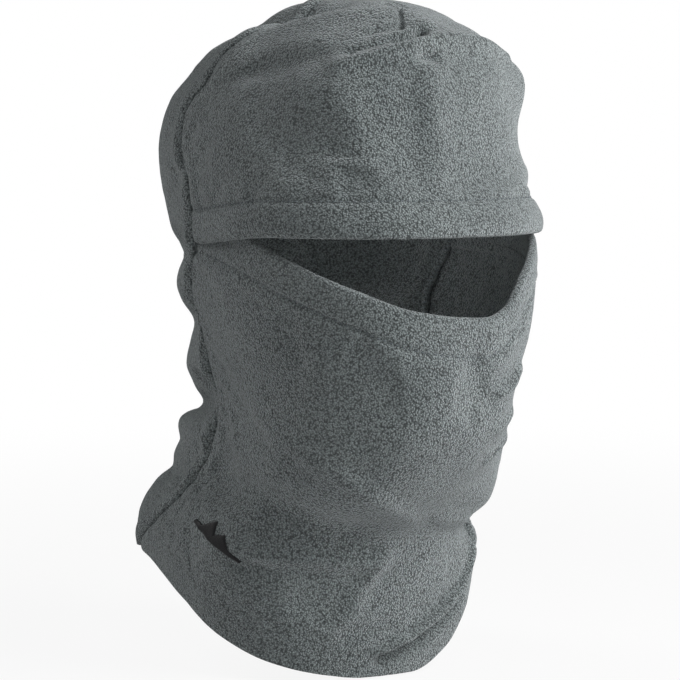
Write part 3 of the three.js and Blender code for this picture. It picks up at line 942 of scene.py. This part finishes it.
def care_label():
    """A soft blank label hanging from the side seam, bowed by its own weight."""
    node = frame["nodes"]["care_label"]
    corners = np.array([node.matrix_world @ v.co for v in node.data.vertices]) / MM
    centre = corners.mean(0)
    axes = np.linalg.svd(corners - centre)[2]
    reach = np.abs((corners - centre) @ axes.T).max(0)
    tall, wide, thin = axes
    if tall[2] < 0:
        tall = -tall
    s, t = np.meshgrid(np.linspace(-1, 1, 25), np.linspace(-1, 1, 37))
    bow = 1.5 * (1 - t ** 2) * s + 0.7 * np.cos(2.2 * t + 1) * (1 - s ** 2)
    grid = (centre + s[..., None] * reach[1] * wide + t[..., None] * reach[0] * tall
            + bow[..., None] * thin)
    label = sheet("care_label_woven", grid, np.full(s.shape, 0.4), LABEL, 0.5, 0.5, steps=3)
    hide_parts("care_label")
    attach(label, "hood")


brow_face, brow_angle, brow_up = forehead_outer()
mask_face, mask_angle, mask_down = mask_outer()
back_face, back_angle = back_outer()

forehead = sheet("forehead_panel", brow_face, hem_thickness(brow_angle, brow_up, BROW_HEM_DEPTH),
                 FLEECE_GREY, 0, 0.9)
mask = sheet("mask_panel", mask_face, hem_thickness(mask_angle, mask_down, MASK_HEM_DEPTH),
             FLEECE_GREY, 0.9, 0.35)
back = sheet("back_panel_cloth", back_face, np.full(back_angle.shape, FLEECE), FLEECE_GREY, 0, 0.35)
for panel, nodes in ((forehead, ("forehead_crown", "forehead_brow", "forehead_hem")),
                     (mask, ("mask_hem", "mask_face", "neck_bib")),
                     (back, ("back_panel",))):
    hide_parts(*nodes)
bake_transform(forehead)
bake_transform(mask)
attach(back, "hood")

topstitch("brow_topstitch", brow_face, brow_up, BROW_HEM_DEPTH, 1, "forehead_hem_thread")
topstitch("mask_topstitch", mask_face, mask_down, MASK_HEM_DEPTH, 14, "mask_hem_thread")
allowance("arch_seam", on_cloth(*seam_keys(SEAM_FOOT + 4)))
allowance("forehead_dart", on_cloth(*FRONT_DART))
allowance("back_dart", on_cloth(*BACK_DART))
emblem(mask_face)
care_label()


# ---- camera, light and floor --------------------------------------------------------------
CAMERA_AZIMUTH = -34
CAMERA_ELEVATION = 5
CAMERA_DISTANCE = 1.5
AIM = (0, -0.0055, 0.161)
FRAME_WIDTH = 0.34              # metres of the object's plane across the picture


def direction(azimuth, elevation):
    a, e = math.radians(azimuth), math.radians(elevation)
    return np.array([math.sin(a) * math.cos(e), -math.cos(a) * math.cos(e), math.sin(e)])


def aimed(name, data, azimuth, elevation, distance):
    """An object for a lamp or camera, looking at the hood from a direction."""
    thing = bpy.data.objects.new(name, data)
    thing.location = np.array(AIM) + distance * direction(azimuth, elevation)
    thing.rotation_euler = (Vector(AIM) - thing.location).to_track_quat("-Z", "Y").to_euler()
    bpy.context.scene.collection.objects.link(thing)
    return thing


def make_camera():
    data = bpy.data.cameras.new("camera")
    data.sensor_width = 36
    data.lens = data.sensor_width * CAMERA_DISTANCE / FRAME_WIDTH
    bpy.context.scene.camera = aimed("camera", data, CAMERA_AZIMUTH, CAMERA_ELEVATION, CAMERA_DISTANCE)


def soft_light(name, azimuth, elevation, distance, size, power):
    data = bpy.data.lights.new(name, "AREA")
    data.shape = "DISK"
    data.size = size
    data.energy = power
    aimed(name, data, azimuth, elevation, distance)


def soft_glow(name, place, radius, power):
    """The light that the pale lining of a real studio would bounce into the hood."""
    data = bpy.data.lights.new(name, "POINT")
    data.shadow_soft_size = radius
    data.energy = power
    lamp = bpy.data.objects.new(name, data)
    lamp.location = place
    bpy.context.scene.collection.objects.link(lamp)


def make_world(seen, lighting):
    """A white background that lights the hood less brightly than it looks."""
    world = bpy.data.worlds.new("studio")
    world.use_nodes = True
    tree = world.node_tree
    background = tree.nodes["Background"]
    rays = tree.nodes.new("ShaderNodeLightPath")
    strength = tree.nodes.new("ShaderNodeMapRange")
    strength.inputs["To Min"].default_value = lighting
    strength.inputs["To Max"].default_value = seen
    tree.links.new(rays.outputs["Is Camera Ray"], strength.inputs["Value"])
    tree.links.new(strength.outputs["Result"], background.inputs["Strength"])
    background.inputs["Color"].default_value = (1, 1, 1, 1)
    bpy.context.scene.world = world


def make_floor():
    """A pale floor whose far part fades into the background."""
    bpy.ops.mesh.primitive_circle_add(vertices=96, radius=30, fill_type="NGON", location=(0, 0, -0.001))
    floor = bpy.context.object
    floor.name = "floor"
    nodes = Nodes("floor_white")
    distance = nodes.add("VectorMath", {0: nodes.place}, operation="LENGTH").outputs["Value"]
    far = nodes.add("MapRange", {"Value": distance, "From Min": 0.25, "From Max": 1.1},
                    interpolation_type="SMOOTHSTEP").outputs["Result"]
    seen = nodes.add("LightPath").outputs["Is Camera Ray"]
    glow = nodes.add("Emission", {"Color": (1, 1, 1, 1), "Strength": 1.0})
    near = nodes.math("ADD", nodes.math("MULTIPLY", far, 0.1), 0.9)
    blend = nodes.add("MixShader", {0: nodes.math("MULTIPLY", near, seen), 1: nodes.surface.outputs[0],
                                    2: glow.outputs[0]})
    output = nodes.tree.nodes["Material Output"]
    nodes.tree.links.new(blend.outputs[0], output.inputs["Surface"])
    floor.data.materials.append(nodes.finish(Base_Color=(0.6, 0.6, 0.6, 1), Roughness=0.9))


make_camera()
soft_light("key", 24, 35, 0.9, 0.6, 9.6)
soft_light("side", 70, 2, 0.9, 0.5, 3.2)
soft_light("fill", -28, -2, 0.9, 0.4, 1.3)
soft_light("rim", -150, 40, 1.3, 0.6, 7.0)
make_world(seen=1.0, lighting=0.15)
soft_glow("inside", (0, -0.01, 0.19), 0.04, 0.055)
make_floor()
bpy.context.scene.view_settings.view_transform = "Standard"
